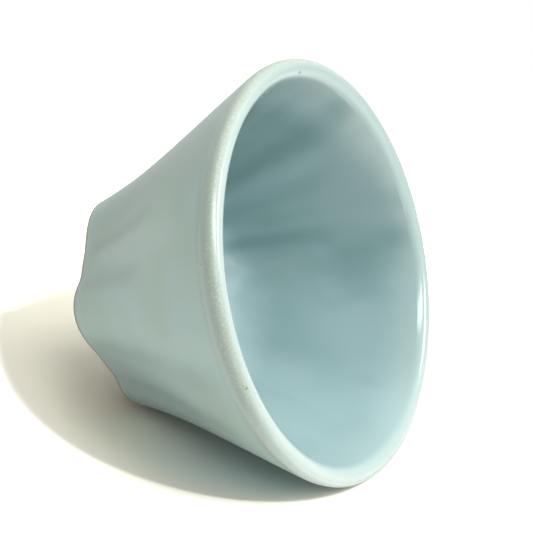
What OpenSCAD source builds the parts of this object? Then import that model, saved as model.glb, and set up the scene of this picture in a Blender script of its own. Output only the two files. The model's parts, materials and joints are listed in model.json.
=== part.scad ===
// A lobed celadon cup, standing upright on its foot ring.
// Origin: centre of the foot ring on the table. +Z runs up the cup's axis to the mouth.
// The clay body carries four coats of glaze, and each coat lies face to face on the clay.

/* [Cup] */
// Height from the table to the top of the lip
cup_h = 52.3; // [48:0.1:62]
// Diameter over the outside of the lip
mouth_d = 84.8; // [78:0.1:98]
// Diameter over the ridges just above the foot's edge
foot_d = 50.6; // [46:0.2:56]

/* [Wall] */
// Wall just under the lip, clay and both glazes together
wall_top = 4.3; // [3.6:0.1:5]
// Wall at the foot's ridges, clay and both glazes together
wall_low = 4.2; // [3.6:0.1:5.6]
// Floor inside the cup, clay and glaze together
floor_t = 5; // [3.6:0.1:8]
// Height over which the wall leans out from the foot
low_bend_h = 13.2; // [8:0.1:20]
// How far the wall leans out over that height
low_bend_out = 3.4; // [1.5:0.1:5]
// Height over which the wall comes up to the lip
top_bend_h = 29.6; // [22:0.2:32]
// How far the wall leans out over that height
top_bend_out = 12; // [9:0.1:13]

/* [Lip] */
// Radius of the soft shoulder that turns the wall upright under the lip
lip_shoulder = 5.2; // [3:0.1:8]
// Radius of the round on top of the lip
lip_round = 1.5; // [1.2:0.1:1.8]

/* [Ridges] */
// Number of ridges round the wall
ridge_n = 6; // [5:1:8]
// Depth of the hollow between two ridges at the foot
hollow_d = 2.9; // [0.6:0.1:3.6]
// Height above the foot's edge at which the hollows run out
hollow_h = 40.4; // [28:0.2:42]
// Share of the pitch that the steep side of a ridge takes
rise_share = 0.3; // [0.2:0.01:0.36]
// Share of the pitch that the round of the crest takes
round_share = 0.2; // [0.1:0.01:0.24]
// Share of the pitch at which the slack side ends at the foot
fall_share = 0.72; // [0.6:0.01:0.8]
// Share of the pitch at which the slack side ends where the hollows run out
fall_top_share = 0.9; // [0.8:0.01:0.92]
// Softness of the crease beside a ridge, as a share of its height
crease_soft = 0.12; // [0.04:0.01:0.3]
// Angle from the X axis at which the first ridge starts
ridge_turn = 15.8; // [0:0.2:60]
// How much of each ridge shows on the inside
inside_share = 0.75; // [0:0.05:0.8]

/* [Well] */
// Height above the floor at which the inside starts to round into the floor
well_round_h = 10; // [7:0.5:14]
// Diameter of the flat in the middle of the floor inside
well_flat_d = 18; // [8:1:26]

/* [Foot] */
// Height of the foot's edge above the table
edge_lift = 1.2; // [0.8:0.1:2]
// Round of the foot's edge, over the glaze
edge_r = 1.8; // [1.2:0.1:2.4]
// Angle round the foot's edge at which the glaze stops
glaze_stop = 24; // [10:1:45]
// Outer diameter of the foot ring
ring_d = 37; // [30:0.5:38]
// Width of the foot ring
ring_w = 3.2; // [2.4:0.1:5]
// Chamfer on both lower edges of the foot ring
ring_chamfer = 0.5; // [0.2:0.05:0.6]

/* [Glaze] */
// Thickness of the glaze on the wall, the lip and the floor
glaze_t = 0.35; // [0.2:0.01:0.5]
// Thickness of the glaze under the foot
foot_glaze_t = 0.3; // [0.15:0.01:0.5]
// Bare margin between the glaze under the foot and the foot ring
foot_glaze_margin = 0.8; // [0.3:0.1:2]

/* [Hidden] */
clay = [0.62, 0.54, 0.44];
bare_clay = [0.66, 0.52, 0.40];
outer_green = [0.62, 0.69, 0.63];
inner_green = [0.55, 0.68, 0.69];
lip_pale = [0.87, 0.92, 0.87];
foot_green = [0.58, 0.66, 0.60];

// Points round one ring, an equal count in each pitch
pitch_steps = floor(72 / ridge_n);
ring_points = pitch_steps * ridge_n;
pitch = 360 / ridge_n;
wall_steps = 15;
inside_steps = 11;
well_steps = 6;
shoulder_steps = 3;
round_steps = 4;
roll_steps = 4;
curve_steps = 40;

// Places that the pieces share
mouth_r = mouth_d / 2;
lip_lean = atan(top_bend_out / top_bend_h);
lip_mid_r = mouth_r - lip_round;
lip_mid_z = cup_h - lip_round;
shoulder_mid_r = mouth_r - lip_shoulder;
wall_top_z = lip_mid_z - lip_shoulder * sin(lip_lean);
wall_top_r = shoulder_mid_r + lip_shoulder * cos(lip_lean);
wall_low_z = edge_lift + edge_r;
wall_low_r = foot_d / 2;
base_z = edge_lift + glaze_t;
floor_z = edge_lift + floor_t;
well_z = floor_z + well_round_h;
well_flat_r = well_flat_d / 2;
ring_r = ring_d / 2;
ring_bore_r = ring_r - ring_w;

// Radius of the roll from the top of the lip into the inside, so that it meets the inner wall without a crease
lip_roll = (lip_mid_r - wall_top_r + wall_top - (cup_h - wall_top_z) * tan(lip_lean))
    / (cos(lip_lean) - (1 - sin(lip_lean)) * tan(lip_lean));

// The wall's line over the crests of the ridges, as one smooth curve of height and radius
function bend(t, a, b, c, d) = pow(1 - t, 3) * a + 3 * pow(1 - t, 2) * t * b + 3 * (1 - t) * t * t * c + pow(t, 3) * d;
crest_line = [for (i = [0:curve_steps]) let (t = i / curve_steps)
    [bend(t, wall_low_z, wall_low_z + low_bend_h, wall_top_z - top_bend_h, wall_top_z),
     bend(t, wall_low_r, wall_low_r + low_bend_out, wall_top_r - top_bend_out, wall_top_r)]];
function crest_r(z) = lookup(z, crest_line);

// Depth of the hollows at a height
function hollow_at(z) = hollow_d * pow(max(0, 1 - pow((z - edge_lift) / hollow_h, 2)), 1.5);

// Height of a ridge, from 0 in the hollow to 1 on the crest, at an angle and a height.
// The steep side is a parabola. The slack side rounds off and then runs straight.
function fall_end(z) = fall_share + (fall_top_share - fall_share) * pow(min(1, (z - edge_lift) / hollow_h), 2);
function pitch_share(angle) = let (s = (angle - ridge_turn) / pitch + 0.05) s - floor(s) - 0.05;
function slack_side(u, slope) = u < round_share
    ? 1 - slope * u * u / (2 * round_share)
    : 1 - slope * round_share / 2 - slope * (u - round_share);
function sharp_ridge(s, z) = s < rise_share
    ? 1 - pow(1 - s / rise_share, 2)
    : slack_side(s - rise_share, 1 / (fall_end(z) - rise_share - round_share / 2));
function soften(h) = (h + sqrt(h * h + crease_soft * crease_soft)) / (1 + sqrt(1 + crease_soft * crease_soft));
function ridge(angle, z) = soften(sharp_ridge(pitch_share(angle), z));

// Radius of the glazed outside and of the glazed inside
function outside_r(angle, z) = crest_r(z) - hollow_at(z) * (1 - ridge(angle, z));
function wall_at(z) = wall_low + (wall_top - wall_low) * (z - wall_low_z) / (wall_top_z - wall_low_z);
function inside_r(angle, z) = crest_r(z) - wall_at(z) - inside_share * hollow_at(z) * (1 - ridge(angle, z));

// Rings of points, all with the same angles, so that neighbouring faces match
angles = [for (j = [0:ring_points - 1]) ridge_turn + j * 360 / ring_points];
function ring_at(radii, z) = [for (j = [0:ring_points - 1]) [radii[j] * cos(angles[j]), radii[j] * sin(angles[j]), z]];
function round_ring(r, z) = ring_at([for (a = angles) r], z);

// Round of the foot's edge, from a turn of 90 degrees underneath to 0 at the wall
function edge_ring(turn, in) = ring_at(
    [for (a = angles) outside_r(a, wall_low_z) - edge_r + (edge_r - in) * cos(turn)],
    wall_low_z - (edge_r - in) * sin(turn));
function wall_ring(i, in) = let (z = wall_low_z + (wall_top_z - wall_low_z) * i / wall_steps)
    ring_at([for (a = angles) outside_r(a, z) - in], z);
function arc_ring(mid_r, mid_z, r, turn) = round_ring(mid_r + r * cos(turn), mid_z + r * sin(turn));
function lip_ring(turn, in) = turn < 0
    ? arc_ring(shoulder_mid_r, lip_mid_z, lip_shoulder - in, turn)
    : turn <= 90
        ? arc_ring(lip_mid_r, lip_mid_z, lip_round - in, turn)
        : arc_ring(lip_mid_r, cup_h - lip_roll, lip_roll - in, turn);
function inside_ring(i, in) = let (z = wall_top_z + (well_z - wall_top_z) * i / inside_steps)
    ring_at([for (a = angles) inside_r(a, z) + in], z);
function well_ring(i, in) = let (s = i / well_steps, z = bend(s, well_z, (well_z + 2 * floor_z) / 3, floor_z, floor_z))
    ring_at([for (a = angles)
        let (wall_r = inside_r(a, well_z), low_r = inside_r(a, floor_z))
        bend(s, wall_r, (wall_r + 2 * low_r) / 3, (well_flat_r + 2 * low_r) / 3, well_flat_r) + in * (1 - s)], z - in * s);

bare_edge_turns = [90, 70, 46];
glazed_edge_turns = [glaze_stop, glaze_stop / 2];
lip_end_turn = 180 - lip_lean;
lip_turns = concat(
    [for (k = [1:shoulder_steps]) lip_lean * (k / shoulder_steps - 1)],
    [for (k = [1:round_steps]) 90 * k / round_steps],
    [for (k = [1:roll_steps]) 90 + (lip_end_turn - 90) * k / roll_steps]);
function edge_rings(turns, in) = [for (turn = turns) edge_ring(turn, in)];
function wall_rings(in) = [for (i = [0:wall_steps]) wall_ring(i, in)];
function lip_rings(in) = [for (turn = lip_turns) lip_ring(turn, in)];
function inside_rings(in) = [for (i = [0:inside_steps]) inside_ring(i, in)];
function well_rings(in) = [for (i = [1:well_steps]) well_ring(i, in)];
function backwards(rings) = [for (i = [len(rings) - 1:-1:0]) rings[i]];

// A solid whose skin runs through the rings in turn: capped at both ends, or joined round
module skin(rings, capped) {
    count = len(rings);
    last = capped ? count - 2 : count - 1;
    sides = [for (i = [0:last], j = [0:ring_points - 1])
        let (low = i * ring_points, high = ((i + 1) % count) * ring_points, next = (j + 1) % ring_points)
        each [[low + j, high + j, high + next], [low + j, high + next, low + next]]];
    first_cap = [for (j = [0:ring_points - 1]) j];
    last_cap = [for (j = [ring_points - 1:-1:0]) (count - 1) * ring_points + j];
    polyhedron([for (r = rings) each r], capped ? concat(sides, [first_cap, last_cap]) : sides, convexity = 6);
}

// The fired clay: base, lobed wall, round rim and the inside down to the floor
module clay_body() {
    color(clay)
        skin(concat(
            edge_rings(bare_edge_turns, glaze_t),
            edge_rings(glazed_edge_turns, glaze_t),
            wall_rings(glaze_t),
            lip_rings(glaze_t),
            inside_rings(glaze_t),
            well_rings(glaze_t)), capped = true);
}

// The bare ring that the cup stands on, up to the underside of the base
module foot_ring() {
    color(bare_clay)
        rotate_extrude($fn = 96)
            polygon([
                [ring_bore_r + ring_chamfer, 0],
                [ring_r - ring_chamfer, 0],
                [ring_r, ring_chamfer],
                [ring_r, base_z],
                [ring_bore_r, base_z],
                [ring_bore_r, ring_chamfer]]);
}

// The coat on the outside, from the foot's edge up to the shoulder under the lip
module outer_glaze() {
    color(outer_green)
        skin(concat(
            edge_rings(glazed_edge_turns, 0),
            wall_rings(0),
            backwards(wall_rings(glaze_t)),
            backwards(edge_rings(glazed_edge_turns, glaze_t))), capped = false);
}

// The thin pale coat over the lip
module lip_glaze() {
    color(lip_pale)
        skin(concat(
            [wall_ring(wall_steps, 0)],
            lip_rings(0),
            backwards(lip_rings(glaze_t)),
            [wall_ring(wall_steps, glaze_t)]), capped = false);
}

// The coat on the inside, from the lip down over the floor
module inner_glaze() {
    color(inner_green)
        skin(concat(
            backwards(well_rings(glaze_t)),
            backwards(inside_rings(glaze_t)),
            [lip_ring(lip_end_turn, glaze_t), lip_ring(lip_end_turn, 0)],
            inside_rings(0),
            well_rings(0)), capped = true);
}

// The coat under the base, inside the foot ring
module foot_glaze() {
    color(foot_green)
        translate([0, 0, base_z - foot_glaze_t])
            cylinder(r = ring_bore_r - foot_glaze_margin, h = foot_glaze_t, $fn = 96);
}

clay_body();
foot_ring();
outer_glaze();
lip_glaze();
inner_glaze();
foot_glaze();
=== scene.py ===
# Celadon cup: the finish of its glaze and clay, a pale floor, soft lamps and the photograph's camera.
# Metres all over. The cup stands on z = 0 with its axis on +Z. The camera and the floor are turned instead,
# so that the cup lies on its side in the picture.
import json
import math
import bpy
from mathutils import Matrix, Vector

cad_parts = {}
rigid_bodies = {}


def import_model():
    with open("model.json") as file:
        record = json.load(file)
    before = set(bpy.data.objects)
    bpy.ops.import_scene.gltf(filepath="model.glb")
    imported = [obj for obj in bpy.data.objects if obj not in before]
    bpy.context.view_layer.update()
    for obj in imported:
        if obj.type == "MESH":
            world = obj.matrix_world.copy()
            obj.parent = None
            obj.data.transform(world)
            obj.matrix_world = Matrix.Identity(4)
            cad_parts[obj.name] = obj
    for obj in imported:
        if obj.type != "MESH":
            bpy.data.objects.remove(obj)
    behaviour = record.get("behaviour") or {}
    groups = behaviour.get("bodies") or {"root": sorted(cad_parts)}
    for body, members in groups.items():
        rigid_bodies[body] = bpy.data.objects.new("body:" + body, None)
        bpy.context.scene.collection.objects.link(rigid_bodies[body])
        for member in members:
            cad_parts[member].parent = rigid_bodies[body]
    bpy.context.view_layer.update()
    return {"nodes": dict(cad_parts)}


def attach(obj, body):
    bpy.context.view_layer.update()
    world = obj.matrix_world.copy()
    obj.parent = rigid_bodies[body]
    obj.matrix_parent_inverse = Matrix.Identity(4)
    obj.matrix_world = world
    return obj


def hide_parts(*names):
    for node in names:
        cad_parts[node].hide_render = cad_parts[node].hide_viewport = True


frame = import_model()
cadNodes = frame["nodes"]
mm = 0.001
weldDistance = 0.002 * mm
smoothAngle = math.radians(50)  # sharper edges than this stay crisp
print("frame loaded:", len(cadNodes), "pieces")


def onlySelect(*pieces):
    bpy.ops.object.select_all(action="DESELECT")
    for piece in pieces:
        piece.select_set(True)
    bpy.context.view_layer.objects.active = pieces[0]


def linear(rgb):
    # a colour as a paint chart gives it, 0 to 255, turned into the shader's own numbers
    out = []
    for value in rgb:
        share = value / 255
        out.append(share / 12.92 if share <= 0.04045 else ((share + 0.055) / 1.055) ** 2.4)
    return (*out, 1.0)


def editMode():
    bpy.ops.object.mode_set(mode="EDIT")


def objectMode():
    bpy.ops.object.mode_set(mode="OBJECT")


def copyOf(nodeName, pieceName):
    piece = bpy.data.objects.new(pieceName, cadNodes[nodeName].data.copy())
    bpy.context.scene.collection.objects.link(piece)
    piece.data.materials.clear()
    return piece


def quadSkin():
    # in edit mode: the frame's loose triangles become one skin of four-sided faces
    widest = math.radians(60)
    bpy.ops.mesh.select_all(action="SELECT")
    bpy.ops.mesh.remove_doubles(threshold=weldDistance)
    bpy.ops.mesh.tris_convert_to_quads(face_threshold=widest, shape_threshold=widest)


def subdivide(piece, levels):
    onlySelect(piece)
    bpy.ops.object.modifier_add(type="SUBSURF")
    finer = piece.modifiers[-1]
    finer.levels = levels
    finer.render_levels = levels
    finer.boundary_smooth = "PRESERVE_CORNERS"
    bpy.ops.object.modifier_apply(modifier=finer.name)


# Camera, as the photograph was taken: the cup's axis runs across the picture, mouth to the right.
cameraView = {
    "lens": 63.4,
    "sensor": 36,
    "place": (-2.65, -164.57, 141.34),  # mm
    "turn": (12.455, -56.088, 75.096),  # degrees
    "nearest": 0.01,
    "farthest": 20,
}


def makeCamera():
    place = [v * mm for v in cameraView["place"]]
    turn = [math.radians(v) for v in cameraView["turn"]]
    bpy.ops.object.camera_add(location=place, rotation=turn)
    camera = bpy.context.object
    camera.name = "photoCamera"
    camera.data.lens = cameraView["lens"]
    camera.data.sensor_width = cameraView["sensor"]
    camera.data.clip_start = cameraView["nearest"]
    camera.data.clip_end = cameraView["farthest"]
    bpy.context.scene.camera = camera


makeCamera()
print("camera placed")


# Materials. Every pattern reads Object coordinates, which are metres in the cup's own frame.
# An azimuth is in degrees about the cup's axis, from +X towards +Y.
cupForm = {
    "ridges": 6,
    "ridgeTurn": 15.8,  # azimuth at which the first ridge starts
    "crest": 0.3,  # share of a ridge's pitch at which it is highest
    "lipRadius": 40.9 * mm,  # the middle of the round on top of the lip
    "lipHeight": 50.8 * mm,
    "shoulderRadius": 37.2 * mm,  # the middle of the soft shoulder outside, at the same height
    "shoulderRound": 5.2 * mm,
    "glazeEnd": 2.27 * mm,  # height at which the outer glaze stops, just above the foot's edge
}

patternEdges = {
    "speckCore": 0.4,  # share of a speck's radius that has its full strength
    "axis": (3 * mm, 13 * mm),  # streaks and patches fade out between these radii, where all azimuths meet
    "streakTop": 9,  # mm over which a streak fades out at its upper end
    "streakFoot": (-2, 4),  # mm from its lower end
    "patch": 4,  # mm to either side of a patch's two heights
}


class Shader:
    # a material with its nodes laid out in columns
    columnWidth = 180

    def __init__(self, name, kind="ShaderNodeBsdfPrincipled", **sockets):
        self.material = bpy.data.materials.new(name)
        self.material.use_nodes = True
        self.tree = self.material.node_tree
        self.tree.nodes.clear()
        self.column = 0
        self.surface = self.node(kind)
        for socket, value in sockets.items():
            self.surface.inputs[socket.replace("_", " ")].default_value = value
        self.output = self.node("ShaderNodeOutputMaterial")
        self.link(self.surface.outputs[0], self.output.inputs["Surface"])
        self.place = self.node("ShaderNodeTexCoord").outputs["Object"]
        apart = self.node("ShaderNodeSeparateXYZ")
        self.link(self.place, apart.inputs[0])
        self.x, self.y, self.height = apart.outputs
        square = [self.times(side, side) for side in (self.x, self.y)]
        self.radius = self.math("SQRT", self.math("ADD", *square))
        self.azimuth = self.math("DEGREES", self.math("ARCTAN2", self.y, self.x))

    def node(self, kind, **settings):
        made = self.tree.nodes.new(kind)
        self.column += 1
        made.location = (self.column * self.columnWidth, 0)
        for setting, value in settings.items():
            setattr(made, setting, value)
        return made

    def link(self, start, end):
        self.tree.links.new(start, end)

    def math(self, operation, first, second=0.5, clamp=False):
        made = self.node("ShaderNodeMath", operation=operation, use_clamp=clamp)
        for socket, value in zip(made.inputs, (first, second)):
            if isinstance(value, bpy.types.NodeSocket):
                self.link(value, socket)
            else:
                socket.default_value = value
        return made.outputs[0]

    def times(self, first, second):
        return self.math("MULTIPLY", first, second)

    def length(self, vector):
        made = self.node("ShaderNodeVectorMath", operation="LENGTH")
        self.link(vector, made.inputs[0])
        return made.outputs["Value"]

    def ramp(self, value, low, high, most=1.0):
        # 0 at low and before it, most at high and past it
        made = self.node("ShaderNodeMapRange", interpolation_type="SMOOTHSTEP")
        self.link(value, made.inputs["Value"])
        made.inputs["From Min"].default_value = low
        made.inputs["From Max"].default_value = high
        made.inputs["To Max"].default_value = most
        return made.outputs["Result"]

    def mix(self, share, first, second):
        made = self.node("ShaderNodeMix", data_type="RGBA")
        slots = {s.name: s for s in made.inputs if s.type == "RGBA"}
        slots["Factor"] = made.inputs[0]
        for name, value in {"Factor": share, "A": first, "B": second}.items():
            if isinstance(value, bpy.types.NodeSocket):
                self.link(value, slots[name])
            else:
                slots[name].default_value = value
        return [s for s in made.outputs if s.type == "RGBA"][0]

    def tinted(self, colour, rgb, share):
        # a share of one colour laid over another
        return self.mix(share, colour, linear(rgb))

    def stretched(self, size, stretch, shift):
        mapping = self.node("ShaderNodeMapping")
        mapping.inputs["Scale"].default_value = [s / size for s in stretch]
        mapping.inputs["Location"].default_value = shift
        self.link(self.place, mapping.inputs["Vector"])
        return mapping.outputs["Vector"]

    def noise(self, size, detail=2.0, rough=0.5, stretch=(1, 1, 1), shift=(0, 0, 0), warp=0.0):
        # size is the length of one blotch in metres; shift keeps two patterns from looking alike
        made = self.node("ShaderNodeTexNoise")
        made.inputs["Scale"].default_value = 1
        made.inputs["Detail"].default_value = detail
        made.inputs["Roughness"].default_value = rough
        made.inputs["Distortion"].default_value = warp
        self.link(self.stretched(size, stretch, shift), made.inputs["Vector"])
        return made.outputs["Fac"]

    def dots(self, apart, size, share, shift=(0, 0, 0)):
        # small round dots, about one to each cell of the given width, of which only a share is kept
        made = self.node("ShaderNodeTexVoronoi")
        made.inputs["Scale"].default_value = 1
        self.link(self.stretched(apart, (1, 1, 1), shift), made.inputs["Vector"])
        tint = self.node("ShaderNodeSeparateColor")
        self.link(made.outputs["Color"], tint.inputs[0])
        kept = self.math("LESS_THAN", tint.outputs["Red"], share)
        core = patternEdges["speckCore"] * size / apart
        return self.times(kept, self.ramp(made.outputs["Distance"], size / apart, core))

    def spot(self, place, size):
        # 1 inside a small round spot at a place on the cup, 0 outside it
        away = self.node("ShaderNodeVectorMath", operation="DISTANCE")
        self.link(self.place, away.inputs[0])
        away.inputs[1].default_value = [v * mm for v in place]
        return self.ramp(away.outputs["Value"], size * mm, size * patternEdges["speckCore"] * mm)

    def towards(self, azimuth):
        # cosine of the angle from an azimuth
        return self.math("COSINE", self.math("RADIANS", self.math("SUBTRACT", self.azimuth, azimuth)))

    def side(self, azimuth, off, on):
        # 0 up to where that cosine is off, 1 from where it is on
        return self.ramp(self.towards(azimuth), off, on)

    def level(self, heights, most=1.0, start=0.0):
        # 0 at the first height and before it, most at the second and past it
        return self.ramp(self.height, start + heights[0], start + heights[1], most=most)

    def offAxis(self):
        # 0 in the middle of the well, where all azimuths meet
        return self.ramp(self.radius, *patternEdges["axis"])

    def streak(self, low, high, width):
        # 1 along a line up the wall between two places (azimuth, height in mm), and 0 at its width
        rise = (high[0] - low[0]) / (high[1] - low[1])
        across = self.math("SUBTRACT", self.azimuth, self.times(self.height, rise / mm))
        across = self.math("SUBTRACT", across, low[0] - rise * low[1])
        share = self.ramp(self.math("ABSOLUTE", across), width, 0)
        over = self.level((high[1] * mm, (high[1] - patternEdges["streakTop"]) * mm))
        under = self.level([(low[1] + v) * mm for v in patternEdges["streakFoot"]])
        return self.times(self.times(share, self.offAxis()), self.times(over, under))

    def streaks(self, colour, lines, rgb):
        for low, high, width, strength in lines:
            colour = self.tinted(colour, rgb, self.times(self.streak(low, high, width), strength))
        return colour

    def patches(self, colour, places, rgb):
        # a place: azimuth, degrees to either side in which it fades out, two heights in mm, strength
        fade = patternEdges["patch"]
        for azimuth, wide, low, high, strength in places:
            share = self.ramp(self.towards(azimuth), math.cos(math.radians(wide)), 1, most=strength)
            under = self.level(((low - fade) * mm, (low + fade) * mm))
            over = self.level(((high + fade) * mm, (high - fade) * mm))
            share = self.times(self.times(share, self.offAxis()), self.times(under, over))
            colour = self.tinted(colour, rgb, share)
        return colour

    def ridgeShare(self, end, slant=0.0):
        # 1 on each ridge's crest and 0 between two ridges; slant turns it, in degrees for each millimetre up
        pitch = math.radians(360 / cupForm["ridges"])
        turn = self.math("ARCTAN2", self.y, self.x)
        turn = self.math("ADD", turn, self.times(self.height, math.radians(slant) / mm))
        share = self.math("SUBTRACT", turn, math.radians(cupForm["ridgeTurn"]))
        share = self.math("FRACT", self.math("DIVIDE", share, pitch))
        up = self.ramp(share, 0, cupForm["crest"])
        down = self.ramp(share, end, cupForm["crest"])
        return self.math("MINIMUM", up, down)

    def lipTurn(self):
        # angle round the lip's section: 0 on top, 90 on the inside, -90 to -150 down the shoulder outside
        inwards = self.math("SUBTRACT", cupForm["lipRadius"], self.radius)
        upwards = self.math("SUBTRACT", self.height, cupForm["lipHeight"])
        return self.math("DEGREES", self.math("ARCTAN2", inwards, upwards))

    def colour(self, value):
        self.link(value, self.surface.inputs["Base Color"])

    def roughness(self, value):
        self.link(value, self.surface.inputs["Roughness"])

    def bump(self, *layers):
        # each layer is a pattern and the real height, in metres, of its hills
        before = None
        for pattern, tall in layers:
            made = self.node("ShaderNodeBump")
            made.inputs["Strength"].default_value = 1
            made.inputs["Distance"].default_value = tall
            self.link(pattern, made.inputs["Height"])
            if before:
                self.link(before, made.inputs["Normal"])
            before = made.outputs["Normal"]
        self.link(before, self.surface.inputs["Normal"])


# Glaze: what every coat shares. Colours are as a paint chart gives them.
# Of two heights, a colour starts to come in at the first and is all there at the second.
# Of a side's three numbers, the first is its azimuth, and the others are the cosines of the angles from it
# where the colour starts and where it is all there.
glaze = {
    "bend": 1.5,  # how strongly it bends light
    "waveSize": 9 * mm,
    "waveTall": 0.04 * mm,
    "peelSize": 0.9 * mm,  # fine orange peel
    "peelTall": 0.002 * mm,
    "sheenSize": 2.5 * mm,
    "sheenSpread": 0.08,  # how far the roughness wanders
    "plain": (172, 194, 183),
    "clouds": [  # grey, green and blue; each comes in between two values of its pattern
        {"tint": (173, 189, 179), "size": 16 * mm, "shift": (0, 0, 0), "warp": 0.3, "between": (0.36, 0.68)},
        {"tint": (167, 191, 177), "size": 13 * mm, "shift": (3, 1, 7), "warp": 0, "between": (0.42, 0.72)},
        {"tint": (172, 197, 190), "size": 18 * mm, "shift": (8, 4, 2), "warp": 0, "between": (0.4, 0.72)},
    ],
    "iron": (70, 62, 48),
    "olive": (116, 122, 92),
    "specks": [("olive", 6 * mm, 0.14 * mm), ("iron", 11 * mm, 0.12 * mm)],  # colour, a cell's width, radius
    "speckShare": 0.3,  # share of the cells that hold one
    "speckShift": (0.3, 0.7, 0.1),
    "speckStrength": 0.4,
    "spots": [  # the larger specks: colour, place and radius in mm
        ("iron", (-39.04, -5.18, 51.81), 0.42), ("iron", (-39.1, -4.4, 51.7), 0.2),
        ("olive", (16.77, -38.24, 51.94), 0.4), ("olive", (16.2, -38.7, 51.6), 0.22),
        ("olive", (11.23, -38.66, 52.19), 0.2), ("olive", (-4.52, -41.7, 48.84), 0.2)],
    "spotStrength": 0.85,
    "levels": 2,
}


def glazePaint(name, finish):
    # the glaze's own skin: slow waves and fine orange peel
    paint = Shader(name, Coat_Weight=finish["gloss"], Coat_Roughness=finish["glossRoughness"],
                   IOR=glaze["bend"], Specular_IOR_Level=finish["shine"])
    wave = paint.noise(glaze["waveSize"], detail=2, shift=(5, 2, 1))
    peel = paint.noise(glaze["peelSize"], detail=2, rough=0.6)
    uneven = paint.noise(glaze["sheenSize"], detail=3, rough=0.6, shift=(1, 8, 3))
    spread = glaze["sheenSpread"]
    paint.sheen = paint.math("ADD", finish["roughness"] - spread / 2, paint.times(uneven, spread))
    paint.roughness(paint.sheen)
    paint.bump((wave, glaze["waveTall"]), (peel, glaze["peelTall"]))
    return paint


def cloudColour(paint):
    # soft clouds of grey, green and blue over the plain celadon
    colour = linear(glaze["plain"])
    for cloud in glaze["clouds"]:
        pattern = paint.noise(cloud["size"], detail=2, shift=cloud["shift"], warp=cloud["warp"])
        colour = paint.tinted(colour, cloud["tint"], paint.ramp(pattern, *cloud["between"]))
    return colour


def ironSpecks(paint, colour):
    # rare specks that the iron in the clay leaves in the glaze
    for tint, apart, size in glaze["specks"]:
        speck = paint.dots(apart, size, glaze["speckShare"], shift=glaze["speckShift"])
        colour = paint.tinted(colour, glaze[tint], paint.times(speck, glaze["speckStrength"]))
    for tint, place, size in glaze["spots"]:
        spot = paint.times(paint.spot(place, size), glaze["spotStrength"])
        colour = paint.tinted(colour, glaze[tint], spot)
    return colour


# Outer coat: satin, with a deeper tone in the hollows between the ridges, painted shade and painted light
# along folds and over one flank, a darker band below the lip that is partly painted shade, and thin at the
# foot's edge
outerCoat = {
    "roughness": 0.42,
    "gloss": 0.04,  # share of a clear, smoother skin over it
    "glossRoughness": 0.2,
    "shine": 0.3,  # strength of its own reflections: 0.5 is that of plain glass
    "deepTone": (152, 170, 161),  # deeper tone in the hollows between the ridges, more towards the foot; also the painted shade along folds
    "deepToneHeights": (30 * mm, 4 * mm),
    "deepToneMost": 0.35,
    "ridgeEnd": 0.9,  # share of a ridge's pitch at which its slack side ends
    # the colour of the painted light along the folds
    "pale": (178, 196, 187),
    # the colour of the painted light over one flank
    "light": (192, 214, 208),
    "paintedLightPlaces": [(-38, 50, -8, 36, 0.3)],  # painted light over one flank: azimuth, degrees to either side, two heights in mm, strength
    "paintedShadeFolds": [  # painted shade along folds that the ridges' form lacks: from and to (azimuth, height in mm), width in degrees, strength
        ((-137, 0), (-133, 62), 24, 0.5), ((-118.5, 4), (-120, 34), 6, 0.6), ((-101, 2), (-99, 30), 7, 0.7),
        ((-69, 4), (-66, 50), 7, 0.4), ((-44, 2), (-48, 44), 8, 0.7)],
    # painted light on the lit flanks of folds that the ridges' form lacks
    "paintedLightFolds": [
        ((-113, 8), (-106, 46), 8, 0.6), ((-76, 2), (-75, 56), 5, 0.5), ((-63, 6), (-56, 42), 7, 0.4)],
    "shoulder": (150, 163, 151),  # on the lip's turn, where the glaze runs thin over the clay; on the wall just below it, painted shade where the wall flares out
    "shoulderHeights": (46.8 * mm, 50.4 * mm),
    "shoulderMost": 0.8,
    "gathered": (178, 197, 194),  # the glaze that gathered over the foot's edge
    "gatheredHeights": (2.8 * mm, 1.5 * mm),  # above the glaze's end, as are the next two
    "gatheredMost": 0.35,
    "clayTint": (166, 154, 130),  # the last of the glaze above the bare edge
    "clayTintHeights": (0.9 * mm, 0.4 * mm),
    "dryHeights": (1.2 * mm, 0.5 * mm),
    "dryMost": 0.4,  # added to the roughness there
}


def outsideColour(paint):
    colour = cloudColour(paint)
    # a deeper tone in the hollows between the ridges, more towards the foot
    hollow = paint.math("SUBTRACT", 1.0, paint.ridgeShare(outerCoat["ridgeEnd"]))
    low = paint.level(outerCoat["deepToneHeights"], most=outerCoat["deepToneMost"])
    colour = paint.tinted(colour, outerCoat["deepTone"], paint.times(hollow, low))
    # painted shade along the folds
    colour = paint.streaks(colour, outerCoat["paintedShadeFolds"], outerCoat["deepTone"])
    # painted light along the folds
    colour = paint.streaks(colour, outerCoat["paintedLightFolds"], outerCoat["pale"])
    # painted light over one flank
    colour = paint.patches(colour, outerCoat["paintedLightPlaces"], outerCoat["light"])
    # painted shade on the wall below the lip's turn, running into the lip's thin glaze
    turned = paint.level(outerCoat["shoulderHeights"], most=outerCoat["shoulderMost"])
    return paint.tinted(colour, outerCoat["shoulder"], turned)


def outerPaint():
    paint = glazePaint("outerCeladonGlaze", outerCoat)
    end = cupForm["glazeEnd"]
    gathered = paint.level(outerCoat["gatheredHeights"], most=outerCoat["gatheredMost"], start=end)
    colour = paint.tinted(outsideColour(paint), outerCoat["gathered"], gathered)
    bare = paint.level(outerCoat["clayTintHeights"], start=end)
    colour = paint.tinted(colour, outerCoat["clayTint"], bare)
    dry = paint.level(outerCoat["dryHeights"], most=outerCoat["dryMost"], start=end)
    paint.roughness(paint.math("ADD", paint.sheen, dry))
    paint.colour(ironSpecks(paint, colour))
    return paint.material
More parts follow.
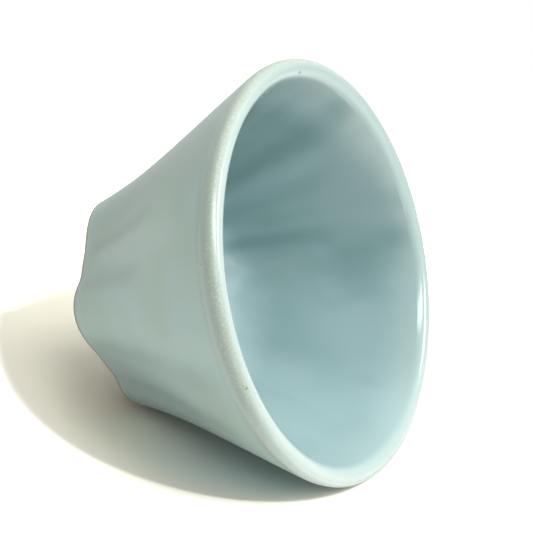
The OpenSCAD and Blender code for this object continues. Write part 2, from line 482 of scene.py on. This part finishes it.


# Inner coat: paler below the lip, with painted shade in bands down the wall and inside the ridges, painted
# light and shade in patches, lighter again in the well
innerCoat = {
    "roughness": 0.22,
    "gloss": 0.5,
    "glossRoughness": 0.16,
    "shine": 0.5,
    "wall": (123, 149, 150),
    "well": (140, 163, 166),
    "wellHeights": (24 * mm, 10 * mm),
    "wellMost": 0.5,
    # deeper tone: in random clouds, and as painted shade inside the ridges and in bands down the wall
    "deepTone": (102, 131, 130),
    "cloudSize": 12 * mm,
    "cloudStretch": (1, 1, 0.4),  # long up the wall
    "cloudWarp": 0.3,
    "cloudBetween": (0.5, 0.66),
    "cloudMost": 0.35,
    "ridgeShadeEnd": 0.6,  # share of a ridge's pitch at which the painted shade inside it ends
    "ridgeShadeSlant": 0.4,  # degrees for each millimetre up
    "ridgeShadeHeights": (10 * mm, 22 * mm),
    "ridgeShadeSide": (75, 0.1, -0.35),  # no painted shade inside the ridges near this azimuth
    "ridgeShadeMost": 0.7,
    "rim": (140, 163, 161),  # the inside just below the lip
    # painted light below the lip on the side towards azimuth 165
    "rimLitTone": (160, 179, 176),
    "rimLitSide": (165, 0.0, 0.8),
    "rimHeights": (41 * mm, 51.5 * mm),
    "paintedShadeBands": [  # painted shade in bands down the wall, where the ridges' flanks turn from the light: from and to (azimuth, height in mm), width in degrees, strength
        ((114, 10), (97.5, 54), 9, 0.9), ((136, 10), (125, 46), 12, 0.6), ((151, 12), (156, 56), 11, 0.7),
        ((122, 18), (107, 60), 9, 0.5)],
    # painted light in bands down the wall, in the colour below the lip
    "paintedLightBands": [
        ((141, 30), (140, 60), 8, 0.4), ((40, 4), (38, 34), 14, 0.5), ((92, 2), (92, 32), 15, 0.4),
        ((-5, 20), (5, 58), 26, 0.3)],
    # painted light and painted shade in patches: azimuth, degrees to either side, two heights in mm, strength
    "light": (168, 191, 192),
    "paintedLightPlaces": [(2, 52, 14, 60, 0.36), (45, 60, -5, 17, 0.45), (182, 45, 42, 48, 0.5)],
    "deep": (90, 125, 125),
    "paintedShadePlaces": [(110, 30, 33, 49, 0.7), (92, 22, 33, 43, 0.5)],
}


def rimColour(paint):
    # painted light on one side below the lip
    pale = paint.side(*innerCoat["rimLitSide"])
    return paint.tinted(linear(innerCoat["rim"]), innerCoat["rimLitTone"], pale)


def insideLightAndShade(paint, colour):
    # painted light and painted shade in patches
    colour = paint.patches(colour, innerCoat["paintedLightPlaces"], innerCoat["light"])
    return paint.patches(colour, innerCoat["paintedShadePlaces"], innerCoat["deep"])


def innerPaint():
    paint = glazePaint("innerCeladonGlaze", innerCoat)
    well = paint.level(innerCoat["wellHeights"], most=innerCoat["wellMost"])
    colour = paint.tinted(linear(innerCoat["wall"]), innerCoat["well"], well)
    cloud = paint.noise(innerCoat["cloudSize"], detail=2, shift=(1, 6, 2), stretch=innerCoat["cloudStretch"],
                        warp=innerCoat["cloudWarp"])
    cloud = paint.ramp(cloud, *innerCoat["cloudBetween"], most=innerCoat["cloudMost"])
    colour = paint.tinted(colour, innerCoat["deepTone"], cloud)
    # painted shade inside the ridges, slanting up the wall
    ridge = paint.ridgeShare(innerCoat["ridgeShadeEnd"], slant=innerCoat["ridgeShadeSlant"])
    pool = paint.times(ridge, paint.level(innerCoat["ridgeShadeHeights"]))
    away = paint.times(paint.side(*innerCoat["ridgeShadeSide"]), innerCoat["ridgeShadeMost"])
    colour = paint.tinted(colour, innerCoat["deepTone"], paint.times(pool, away))
    colour = paint.mix(paint.level(innerCoat["rimHeights"]), colour, rimColour(paint))
    # painted shade in bands down the wall
    colour = paint.streaks(colour, innerCoat["paintedShadeBands"], innerCoat["deepTone"])
    # painted light in bands down the wall
    colour = paint.streaks(colour, innerCoat["paintedLightBands"], innerCoat["rim"])
    paint.colour(ironSpecks(paint, insideLightAndShade(paint, colour)))
    return paint.material


# Lip coat: from the wall over the clay-tinted, flecked shoulder to the pale top and the inside, with painted
# light on the shoulder where it faces the floor and painted shade on one side of the top.
# A turn is two angles round the lip's section, as lipTurn gives them: none at the first, all at the second.
lipCoat = {
    "roughness": 0.22,
    "gloss": 0.3,
    "glossRoughness": 0.12,
    "shine": 0.5,
    "dryTurn": (-20, -60),
    "dryMost": 0.24,  # added to the roughness there
    # painted light on the shoulder's side that faces the floor, thrown up from it
    "shoulderLitTone": (180, 196, 187),
    "shoulderLitSide": (-5, 0.45, 0.95),
    "shoulderTurn": (-128, -98),
    "shoulderWander": 30,  # degrees by which its lower edge wanders
    "wanderSize": 5 * mm,
    "top": (161, 176, 170),
    # painted shade on the side of the lip's top towards azimuth 135
    "topShadedTone": (145, 161, 156),
    "topShadedSide": (135, -0.2, 0.8),
    "topTurn": (-45, -10),
    "fleckTurn": (12, -25),
    "flecks": [  # cream and dark; each comes in between two values of its pattern
        {"tint": (188, 194, 181), "size": 0.5 * mm, "shift": (0, 0, 0), "between": (0.5, 0.64), "most": 0.4},
        {"tint": (122, 131, 116), "size": 0.4 * mm, "shift": (7, 3, 1), "between": (0.54, 0.68), "most": 0.3},
    ],
    "insideTurn": (20, 90),
}


def lipPaint():
    paint = glazePaint("paleLipGlaze", lipCoat)
    turn = paint.lipTurn()
    dry = paint.ramp(turn, *lipCoat["dryTurn"], most=lipCoat["dryMost"])
    paint.roughness(paint.math("ADD", paint.sheen, dry))
    # painted light on the shoulder where it faces the floor
    shoulder = paint.tinted(linear(outerCoat["shoulder"]), lipCoat["shoulderLitTone"],
                            paint.side(*lipCoat["shoulderLitSide"]))
    patchy = paint.noise(lipCoat["wanderSize"], detail=2, shift=(2, 9, 4))
    wander = paint.math("ADD", turn, paint.times(patchy, lipCoat["shoulderWander"]))
    thin = paint.ramp(wander, *lipCoat["shoulderTurn"])
    colour = paint.mix(thin, outsideColour(paint), shoulder)
    # painted shade on one side of the top
    top = paint.tinted(linear(lipCoat["top"]), lipCoat["topShadedTone"], paint.side(*lipCoat["topShadedSide"]))
    colour = paint.mix(paint.ramp(turn, *lipCoat["topTurn"]), colour, top)
    flecked = paint.times(thin, paint.ramp(turn, *lipCoat["fleckTurn"]))
    for fleck in lipCoat["flecks"]:
        pattern = paint.noise(fleck["size"], detail=3, rough=0.75, shift=fleck["shift"])
        share = paint.ramp(pattern, *fleck["between"], most=fleck["most"])
        colour = paint.tinted(colour, fleck["tint"], paint.times(flecked, share))
    # the lip's inner side takes the inside's painted light and shade
    inside = insideLightAndShade(paint, rimColour(paint))
    colour = paint.mix(paint.ramp(turn, *lipCoat["insideTurn"]), colour, inside)
    paint.colour(ironSpecks(paint, colour))
    return paint.material


def pointKey(point):
    samePoint = 0.01 * mm
    return tuple(round(v / samePoint) for v in point)


def openSeam(piece, neighbours):
    # takes away the end faces that a coat shares with its neighbours, so that the coats join into one skin
    shared = set()
    for nodeName in neighbours:
        shared |= {pointKey(v.co) for v in cadNodes[nodeName].data.vertices}
    mesh = piece.data
    onlySelect(piece)
    editMode()
    bpy.ops.mesh.select_mode(type="FACE")
    bpy.ops.mesh.select_all(action="DESELECT")
    objectMode()
    for face in mesh.polygons:
        face.select = all(pointKey(mesh.vertices[i].co) in shared for i in face.vertices)
    editMode()
    bpy.ops.mesh.delete(type="FACE")
    objectMode()


def makeGlaze():
    # the three coats are smoothed as one skin and then parted again, so that no seam shows between them
    coats = [
        ("outer_glaze", "outer_glaze_coat", "outer_celadon", outerPaint(), ["lip_glaze"]),
        ("lip_glaze", "lip_glaze_coat", "lip_celadon", lipPaint(), ["outer_glaze", "inner_glaze"]),
        ("inner_glaze", "inner_glaze_coat", "inner_celadon", innerPaint(), ["lip_glaze"]),
    ]
    skins = []
    for nodeName, pieceName, slotName, paint, neighbours in coats:
        skin = copyOf(nodeName, nodeName + "_skin")
        skin.data.materials.append(paint)
        for face in skin.data.polygons:
            face.material_index = 0
        openSeam(skin, neighbours)
        skins.append(skin)
    onlySelect(*skins)
    bpy.ops.object.join()
    whole = bpy.context.object
    editMode()
    quadSkin()
    objectMode()
    subdivide(whole, glaze["levels"])
    editMode()
    bpy.ops.mesh.separate(type="MATERIAL")
    objectMode()
    parted = {piece.data.materials[0].name: piece for piece in bpy.context.selected_objects}
    for nodeName, pieceName, slotName, paint, neighbours in coats:
        coat = parted[paint.name]
        coat.name = pieceName
        onlySelect(coat)
        editMode()
        bpy.ops.mesh.select_mode(type="EDGE")
        bpy.ops.mesh.select_all(action="DESELECT")
        bpy.ops.mesh.select_non_manifold()
        bpy.ops.mesh.bridge_edge_loops(type="PAIRS")  # closes each cut edge
        bpy.ops.mesh.select_all(action="SELECT")
        bpy.ops.mesh.normals_make_consistent(inside=False)
        objectMode()
        bpy.ops.object.shade_smooth_by_angle(angle=smoothAngle)
        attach(coat, "root")
        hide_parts(nodeName)


makeGlaze()
print("outer, lip and inner glaze made")


# Fired clay: what the body and the foot ring share, then the body
clayFinish = {
    "roughness": 0.85,
    "cloudSize": 7 * mm,
    "cloudBetween": (0.35, 0.7),
    "grainSize": 0.5 * mm,
    "grainBetween": (0.62, 0.75),
    "grainTall": 0.03 * mm,
}
clayBody = {
    "colour": (158, 138, 112),
    "dark": (128, 108, 84),
    "levels": 1,
}


def clayPaint(name, look):
    # soft dark clouds and fine dark grain
    paint = Shader(name, Roughness=clayFinish["roughness"])
    paint.cloud = paint.noise(clayFinish["cloudSize"], detail=4, rough=0.6)
    paint.grain = paint.noise(clayFinish["grainSize"], detail=3, rough=0.7)
    cloudy = paint.ramp(paint.cloud, *clayFinish["cloudBetween"])
    grainy = paint.ramp(paint.grain, *clayFinish["grainBetween"])
    colour = paint.tinted(linear(look["colour"]), look["dark"], cloudy)
    paint.colour(paint.tinted(colour, look["dark"], grainy))
    return paint


def makeClay():
    body = copyOf("clay_body", "clay_cup_body")
    paint = clayPaint("firedClay", clayBody)
    paint.bump((paint.grain, clayFinish["grainTall"]))
    body.data.materials.append(paint.material)
    onlySelect(body)
    editMode()
    quadSkin()
    objectMode()
    subdivide(body, clayBody["levels"])
    bpy.ops.object.shade_smooth_by_angle(angle=smoothAngle)
    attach(body, "root")
    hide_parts("clay_body")


makeClay()
print("clay body made")

footRing = {
    "profile": [  # radius and height in mm, from the bore under the base round the flat and back
        (15.3, 1.55), (15.3, 0.5), (15.38, 0.2), (15.58, 0.04), (15.85, 0),
        (17.95, 0), (18.22, 0.04), (18.42, 0.2), (18.5, 0.5), (18.5, 1.55)],
    "around": 144,
    "colour": (168, 140, 110),
    "dark": (140, 112, 84),
    "grooveApart": 0.42 * mm,  # the marks that the turning left
    "grooveTall": 0.015 * mm,
    "grooveDrift": 0.5,  # share of their distance by which they wander
}


def ringPaint():
    paint = clayPaint("bareFootClay", footRing)
    drift = paint.times(paint.cloud, footRing["grooveDrift"] * footRing["grooveApart"])
    across = paint.math("ADD", paint.radius, drift)
    groove = paint.math("SINE", paint.times(across, 2 * math.pi / footRing["grooveApart"]))
    paint.bump((groove, footRing["grooveTall"]), (paint.grain, clayFinish["grainTall"]))
    return paint.material


def makeFootRing():
    # a circle drawn out along the profile, edge by edge, until it meets itself
    profile = footRing["profile"] + footRing["profile"][:1]
    bpy.ops.mesh.primitive_circle_add(vertices=footRing["around"], radius=profile[0][0] * mm,
                                      location=(0, 0, profile[0][1] * mm))
    ring = bpy.context.object
    ring.name = "turned_foot_ring"
    bpy.ops.object.transform_apply(location=True, rotation=False, scale=False)
    editMode()
    bpy.ops.mesh.select_mode(type="EDGE")
    bpy.ops.mesh.select_all(action="SELECT")
    for (radius, height), (nextRadius, nextHeight) in zip(profile, profile[1:]):
        rise = (nextHeight - height) * mm
        bpy.ops.mesh.extrude_edges_move(TRANSFORM_OT_translate={"value": (0, 0, rise)})
        grow = nextRadius / radius
        bpy.ops.transform.resize(value=(grow, grow, 1), center_override=(0, 0, 0))
    bpy.ops.mesh.select_all(action="SELECT")
    bpy.ops.mesh.remove_doubles(threshold=weldDistance)
    bpy.ops.mesh.normals_make_consistent(inside=False)
    objectMode()
    bpy.ops.object.shade_smooth_by_angle(angle=smoothAngle)
    ring.data.materials.append(ringPaint())
    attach(ring, "root")
    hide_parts("foot_ring")


makeFootRing()
print("foot ring made")

footGlaze = {
    "radius": 14.5 * mm,
    "thick": 0.3 * mm,
    "top": 1.55 * mm,
    "round": 0.13 * mm,
    "roundSteps": 4,
    "around": 144,
    "roughness": 0.34,
    "gloss": 0.25,
    "glossRoughness": 0.12,
    "shine": 0.5,
}


def makeFootGlaze():
    middle = footGlaze["top"] - footGlaze["thick"] / 2
    bpy.ops.mesh.primitive_cylinder_add(vertices=footGlaze["around"], radius=footGlaze["radius"],
                                        depth=footGlaze["thick"], location=(0, 0, middle))
    pool = bpy.context.object
    pool.name = "foot_glaze_pool"
    bpy.ops.object.transform_apply(location=True, rotation=False, scale=False)
    bpy.ops.object.modifier_add(type="BEVEL")
    edge = pool.modifiers[-1]
    edge.width = footGlaze["round"]
    edge.segments = footGlaze["roundSteps"]
    edge.limit_method = "ANGLE"
    edge.angle_limit = math.radians(60)
    bpy.ops.object.modifier_apply(modifier=edge.name)
    bpy.ops.object.shade_smooth_by_angle(angle=smoothAngle)
    paint = glazePaint("footCeladonGlaze", footGlaze)
    paint.colour(ironSpecks(paint, cloudColour(paint)))
    pool.data.materials.append(paint.material)
    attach(pool, "root")
    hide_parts("foot_glaze")


makeFootGlaze()
print("foot glaze made")


# Floor: the cup lies on it, so it touches the lip and the foot's edge along one side.
floorLook = {
    "size": 3.0,
    "turn": 6.2,  # azimuth of the side that lies on the floor
    "lean": 21.97,  # degrees between the cup's axis and the floor
    "seen": (1.0, 0.96, 0.8, 1),  # what the camera sees near the cup, before the lamps light it
    "seenNearCupBounce": (0.77, 0.87, 0.88, 1),  # and where the lip touches it: painted light thrown back bluish from the cup
    "nearReach": (18 * mm, 60 * mm),  # from there: only that colour up to the first, none past the second
    "seenEdge": (0.96, 0.92, 0.8, 1),  # and round the shadow's edge
    "bounce": (0.62, 0.62, 0.6, 1),  # what it throws back on the cup
    "whiteFrom": (55 * mm, 154 * mm),  # between these distances from the foot the floor goes plain white
    "ovalMiddle": (-60, -72.6, 0),  # mm in the floor's plane: past an oval round the shadow it is white too
    "ovalHalf": (63.6, 106.2, 1),
    "ovalTurn": -56.3,
    "ovalEdge": (0.99, 1.07),  # shares of the oval's half widths between which it goes white
    "ovalTint": (0.92, 1.02),  # and between which it takes the edge's colour
}


class FloorPaint(Shader):
    # matt, white away from the cup and clear from behind
    def __init__(self):
        super().__init__("paleFloorPaint", kind="ShaderNodeBsdfDiffuse")
        glow = self.node("ShaderNodeEmission")
        rays = self.node("ShaderNodeLightPath")
        side = self.node("ShaderNodeNewGeometry")
        clear = self.node("ShaderNodeBsdfTransparent")
        both = self.node("ShaderNodeAddShader")
        pick = self.node("ShaderNodeMixShader")
        inView = rays.outputs["Is Camera Ray"]
        shown = self.math("ADD", inView, rays.outputs["Is Glossy Ray"])
        shown = self.math("ADD", shown, rays.outputs["Is Transmission Ray"], clamp=True)
        # Object coordinates start where the lip touches the floor, and Position is in the cup's own frame
        away = self.ramp(self.length(self.place), *floorLook["nearReach"])
        beyond = self.length(self.ovalPlace())
        far = self.ramp(self.length(side.outputs["Position"]), *floorLook["whiteFrom"])
        far = self.math("MAXIMUM", far, self.ramp(beyond, *floorLook["ovalEdge"]))
        # painted bluish light from the cup round where the lip touches
        tint = self.mix(away, floorLook["seenNearCupBounce"], floorLook["seen"])
        tint = self.mix(self.ramp(beyond, *floorLook["ovalTint"]), tint, floorLook["seenEdge"])
        self.link(self.mix(inView, floorLook["bounce"], tint), self.surface.inputs["Color"])
        self.link(self.times(far, shown), glow.inputs["Strength"])
        self.link(self.surface.outputs[0], both.inputs[0])
        self.link(glow.outputs[0], both.inputs[1])
        self.link(self.times(side.outputs["Backfacing"], inView), pick.inputs[0])
        self.link(both.outputs[0], pick.inputs[1])
        self.link(clear.outputs[0], pick.inputs[2])
        self.link(pick.outputs[0], self.output.inputs["Surface"])

    def ovalPlace(self):
        # places in the floor's plane, counted from the oval's middle in its half widths
        oval = self.node("ShaderNodeMapping", vector_type="TEXTURE")
        oval.inputs["Location"].default_value = [v * mm for v in floorLook["ovalMiddle"]]
        oval.inputs["Rotation"].default_value = (0, 0, math.radians(floorLook["ovalTurn"]))
        oval.inputs["Scale"].default_value = [v * mm for v in floorLook["ovalHalf"]]
        self.link(self.place, oval.inputs["Vector"])
        return oval.outputs["Vector"]


def makeFloor():
    turn = math.radians(floorLook["turn"])
    lean = math.radians(floorLook["lean"])
    outwards = Vector((math.cos(turn), math.sin(turn), 0))
    up = Vector((0, 0, math.sin(lean))) - outwards * math.cos(lean)
    shoulderMiddle = outwards * cupForm["shoulderRadius"] + Vector((0, 0, cupForm["lipHeight"]))
    touch = shoulderMiddle - up * cupForm["shoulderRound"]
    toUp = up.to_track_quat("Z", "Y").to_euler()
    bpy.ops.mesh.primitive_plane_add(size=floorLook["size"], location=touch, rotation=toUp)
    floor = bpy.context.object
    floor.name = "paleFloor"
    floor.data.materials.append(FloorPaint().material)


makeFloor()
print("floor made")

# Lamps: direction from the cup as azimuth (0 along +Y, 90 along -X) and height in degrees, sizes in metres.
# The window lamp lights the lip alone, and its reflection is the long highlight there.
lampAim = (0, 0, 25 * mm)
softLamp = {"away": 0.6, "size": 0.32, "hidden": "glossy"}
lamps = {
    "keyLamp": {"azimuth": 124.7, "height": 62.5, "away": 0.56, "size": 0.016, "power": 1.63,
                "hidden": "glossy"},
    "overheadLamp": {"azimuth": 45, "height": 72, "away": 0.6, "size": 0.2, "power": 1.39},
    "frontLamp": {"azimuth": 112, "height": 42, "power": 0.62, **softLamp},
    "sideLamp": {"azimuth": 90, "height": 8, "power": 0.65, **softLamp},
    "highSideLamp": {"azimuth": 90, "height": 30, "power": 0.7, **softLamp},
    "backLamp": {"azimuth": 60, "height": 55, "power": 1.06, **softLamp},
    "nearLamp": {"azimuth": 150, "height": 55, "power": 1.05, **softLamp},
    "lowLamp": {"azimuth": 168, "height": -16, "power": 0.41, **softLamp},
    "windowLamp": {"azimuth": 143, "height": 44, "away": 0.7, "size": 0.22, "tall": 0.66, "power": 3.8,
                   "hidden": "diffuse", "only": "lip_glaze_coat"},
}
worldLight = {"colour": (236, 240, 242), "strength": 0.19}


def makeLamp(name, setup):
    azimuth = math.radians(setup["azimuth"])
    height = math.radians(setup["height"])
    level = math.cos(height)
    toLamp = Vector((-math.sin(azimuth) * level, math.cos(azimuth) * level, math.sin(height)))
    place = Vector(lampAim) + toLamp * setup["away"]
    turn = (-toLamp).to_track_quat("-Z", "Y").to_euler()
    bpy.ops.object.light_add(type="AREA", location=place, rotation=turn)
    lamp = bpy.context.object
    lamp.name = name
    lamp.data.shape = "ELLIPSE" if "tall" in setup else "DISK"
    lamp.data.size = setup["size"]
    lamp.data.size_y = setup.get("tall", setup["size"])
    lamp.data.energy = setup["power"]
    lamp.visible_glossy = setup.get("hidden") != "glossy"
    lamp.visible_diffuse = setup.get("hidden") != "diffuse"
    if "only" in setup:
        lit = bpy.data.collections.new(name + "Lights")
        lit.objects.link(bpy.data.objects[setup["only"]])
        lamp.light_linking.receiver_collection = lit


def makeWorld():
    # soft light on the cup, and white where the camera, a reflection or glass looks past it
    world = bpy.data.worlds.new("studioWorld")
    bpy.context.scene.world = world
    world.use_nodes = True
    tree = world.node_tree
    tree.nodes.clear()
    output = tree.nodes.new("ShaderNodeOutputWorld")
    light = tree.nodes.new("ShaderNodeBackground")
    light.inputs["Color"].default_value = linear(worldLight["colour"])
    light.inputs["Strength"].default_value = worldLight["strength"]
    white = tree.nodes.new("ShaderNodeBackground")
    white.inputs["Color"].default_value = (1, 1, 1, 1)
    white.inputs["Strength"].default_value = 1
    rays = tree.nodes.new("ShaderNodeLightPath")
    either = tree.nodes.new("ShaderNodeMath")
    either.operation = "ADD"
    shown = tree.nodes.new("ShaderNodeMath")
    shown.operation = "ADD"
    shown.use_clamp = True
    mix = tree.nodes.new("ShaderNodeMixShader")
    tree.links.new(rays.outputs["Is Glossy Ray"], either.inputs[0])
    tree.links.new(rays.outputs["Is Transmission Ray"], either.inputs[1])
    tree.links.new(rays.outputs["Is Camera Ray"], shown.inputs[0])
    tree.links.new(either.outputs[0], shown.inputs[1])
    tree.links.new(shown.outputs[0], mix.inputs[0])
    tree.links.new(light.outputs[0], mix.inputs[1])
    tree.links.new(white.outputs[0], mix.inputs[2])
    tree.links.new(mix.outputs[0], output.inputs["Surface"])


for lampName, lampSetup in lamps.items():
    makeLamp(lampName, lampSetup)
makeWorld()
bpy.context.scene.view_settings.view_transform = "Standard"
print("lamps and world made")
